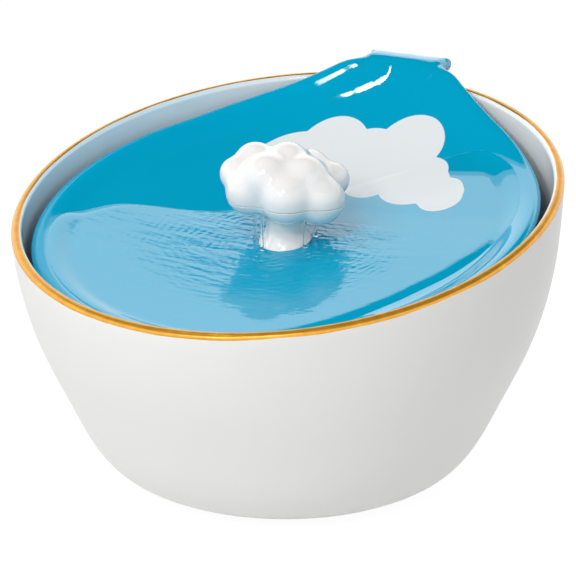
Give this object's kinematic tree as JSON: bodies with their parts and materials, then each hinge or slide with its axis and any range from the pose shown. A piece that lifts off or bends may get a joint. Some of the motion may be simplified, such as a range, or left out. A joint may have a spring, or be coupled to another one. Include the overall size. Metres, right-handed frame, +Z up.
{
  "type": "pet water fountain",
  "caption": "Round ceramic water bowl with a slanted rim, a dished glazed tray hooked over its high side, a cloud-shaped spout, and a submersible pump with a filter box inside.",
  "frame": {"origin": "centre of the bowl's flat base, on the surface that it stands on", "axes": "+Z up; +Y towards the high side of the rim, where the tray's tab hooks over it; -Y towards the low side, where the animal drinks; +X to the right of the animal's side seen from -Y"},
  "size_m": [0.2378, 0.2444, 0.1617],
  "materials": {
    "white_ceramic": "satin white glaze outside, gloss inside, hand-painted gold line on the rim",
    "blue_glaze": "high-gloss turquoise blue glaze",
    "cloud_ceramic": "high-gloss white glaze",
    "seal_rubber": "matte black elastomer",
    "silicone": "translucent-looking silicone, matte",
    "pump_plastic": "moulded, fine texture",
    "lamination_steel": "stacked sheet steel",
    "bobbin_plastic": "natural nylon",
    "copper_wire": "enamelled copper wire",
    "potting_resin": "cast epoxy",
    "ferrite": "ground ferrite",
    "impeller_plastic": "moulded acetal",
    "shaft_steel": "ground stainless steel",
    "dial_plastic": "moulded, blue",
    "box_plastic": "moulded, white",
    "foam": "open-cell filter foam",
    "cartridge_plastic": "moulded, off-white",
    "carbon": "carbon granules in a non-woven sleeve",
    "cup_rubber": "soft, matte"
  },
  "bodies": {
    "base": {"bowl": "white_ceramic", "hose": "silicone", "pump_housing": "pump_plastic", "pump_back_plate": "pump_plastic", "stator_core": "lamination_steel", "coil_bobbin": "bobbin_plastic", "coil_winding": "copper_wire", "potting": "potting_resin", "cable_gland": "seal_rubber", "rotor_shaft": "shaft_steel", "rear_bush": "seal_rubber", "front_bush": "seal_rubber", "volute_cover": "pump_plastic", "volute_seal": "seal_rubber", "filter_box": "box_plastic", "foam_block": "foam", "suction_cup_1": "cup_rubber", "suction_cup_2": "cup_rubber", "suction_cup_3": "cup_rubber", "suction_cup_4": "cup_rubber"},
    "tray": {"tray": "blue_glaze"},
    "spout": {"cloud_base": "cloud_ceramic", "stem_seal": "seal_rubber"},
    "cap": {"cloud_cap": "cloud_ceramic"},
    "rotor": {"impeller": "impeller_plastic", "rotor_magnet": "ferrite"},
    "dial": {"flow_dial": "dial_plastic"},
    "cartridge": {"cartridge_frame": "cartridge_plastic", "carbon_block": "carbon"},
    "filter_front": {"filter_cover": "box_plastic"}
  },
  "joints": [
    {"name": "tray_lift", "type": "slide", "parent": "base", "child": "tray", "axis": [0, 0, 1], "range_m": [0, 0.12]},
    {"name": "spout_lift", "type": "slide", "parent": "tray", "child": "spout", "axis": [0, 0, 1], "range_m": [0, 0.04]},
    {"name": "cap_lift", "type": "slide", "parent": "spout", "child": "cap", "axis": [0, 0, 1], "range_m": [0, 0.03]},
    {"name": "rotor_spin", "type": "hinge", "parent": "base", "child": "rotor", "pos_m": [0, 0, 0.032], "axis": [0, 1, 0], "continuous": true},
    {"name": "dial_turn", "type": "hinge", "parent": "base", "child": "dial", "pos_m": [0, -0.011, 0.032], "axis": [0, 1, 0], "range_deg": [0, 40]},
    {"name": "cartridge_slide", "type": "slide", "parent": "base", "child": "cartridge", "axis": [0, 0, 1], "range_m": [0, 0.036]},
    {"name": "filter_cover_slide", "type": "slide", "parent": "base", "child": "filter_front", "axis": [0, -1, 0], "range_m": [0, 0.02]}
  ]
}
